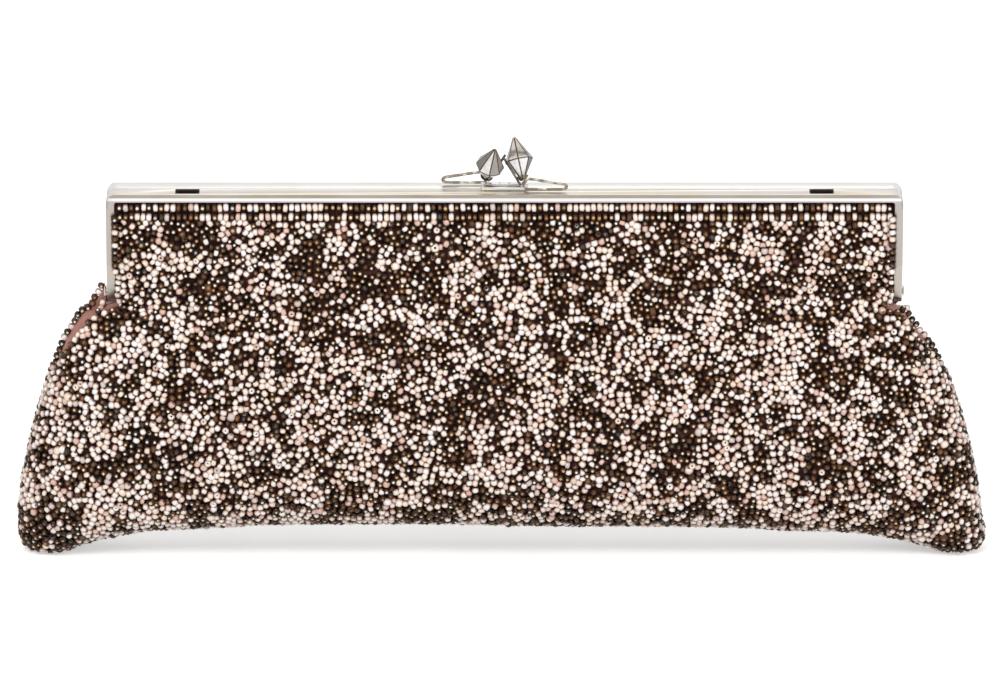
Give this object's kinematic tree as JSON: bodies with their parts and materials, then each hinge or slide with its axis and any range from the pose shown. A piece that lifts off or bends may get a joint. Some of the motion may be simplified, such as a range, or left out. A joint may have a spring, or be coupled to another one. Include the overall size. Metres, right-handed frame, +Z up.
{
  "type": "beaded clutch",
  "caption": "Evening clutch: a bead-covered pouch with spread lower corners, hung in a hinged metal frame that two crossing crystal knobs hold shut.",
  "frame": {"origin": "on the table under the middle of the closed bag, which stands on its two lower corners", "axes": "+X to the right along the frame, -Y to the front of the bag, +Z up"},
  "size_m": [0.269, 0.036, 0.1193],
  "materials": {
    "beadwork": "satin cloth covered in dark brown and pale pearl glass seed beads",
    "satin": "dusty rose satin lining",
    "edge_beads": "dark brown glossy glass seed beads threaded in a row",
    "frame_metal": "polished pale champagne nickel plate",
    "wire": "polished nickel silver wire",
    "paper_cord": "twisted paper cord pressed into the channel",
    "crystal": "clear smoky faceted crystal"
  },
  "bodies": {
    "pouch": {"front_beaded_panel": "beadwork", "rear_beaded_panel": "beadwork", "pouch_lining": "satin", "left_edge_beads": "edge_beads", "right_edge_beads": "edge_beads"},
    "front_half": {"front_frame": "frame_metal", "front_top_panel": "beadwork", "front_top_lining": "satin", "front_frame_cord": "paper_cord", "front_cord_left_end": "paper_cord", "front_cord_right_end": "paper_cord", "front_clasp_plate": "frame_metal", "front_clasp_loop": "wire", "front_cross_wire": "wire", "left_chain_bar": "wire", "right_chain_bar": "wire"},
    "rear_half": {"rear_frame": "frame_metal", "rear_top_panel": "beadwork", "rear_top_lining": "satin", "rear_frame_cord": "paper_cord", "rear_clasp_plate": "frame_metal", "rear_clasp_loop": "wire", "rear_cross_wire": "wire", "left_hinge_rivet": "frame_metal", "right_hinge_rivet": "frame_metal"},
    "front_catch": {"front_clasp_post": "wire", "front_crystal_cap": "frame_metal", "front_crystal": "crystal"},
    "rear_catch": {"rear_clasp_post": "wire", "rear_crystal_cap": "frame_metal", "rear_crystal": "crystal"}
  },
  "joints": [
    {"name": "front_open", "type": "hinge", "parent": "pouch", "child": "front_half", "pos_m": [0, 0, 0.076], "axis": [1, 0, 0], "range_deg": [0, 40]},
    {"name": "rear_open", "type": "hinge", "parent": "pouch", "child": "rear_half", "pos_m": [0, 0, 0.076], "axis": [-1, 0, 0], "range_deg": [0, 40]},
    {"name": "front_knob_spring", "type": "hinge", "parent": "front_half", "child": "front_catch", "pos_m": [0.0055, -0.00135, 0.1071], "axis": [0, 1, 0], "range_deg": [0, 4], "stiffness_Nm_per_rad": 0.05},
    {"name": "rear_knob_spring", "type": "hinge", "parent": "rear_half", "child": "rear_catch", "pos_m": [-0.0055, 0.00135, 0.1071], "axis": [0, -1, 0], "range_deg": [0, 4], "stiffness_Nm_per_rad": 0.05}
  ],
  "couplings": [
    {"joint": "rear_open", "follows": "front_open", "ratio": 1}
  ]
}
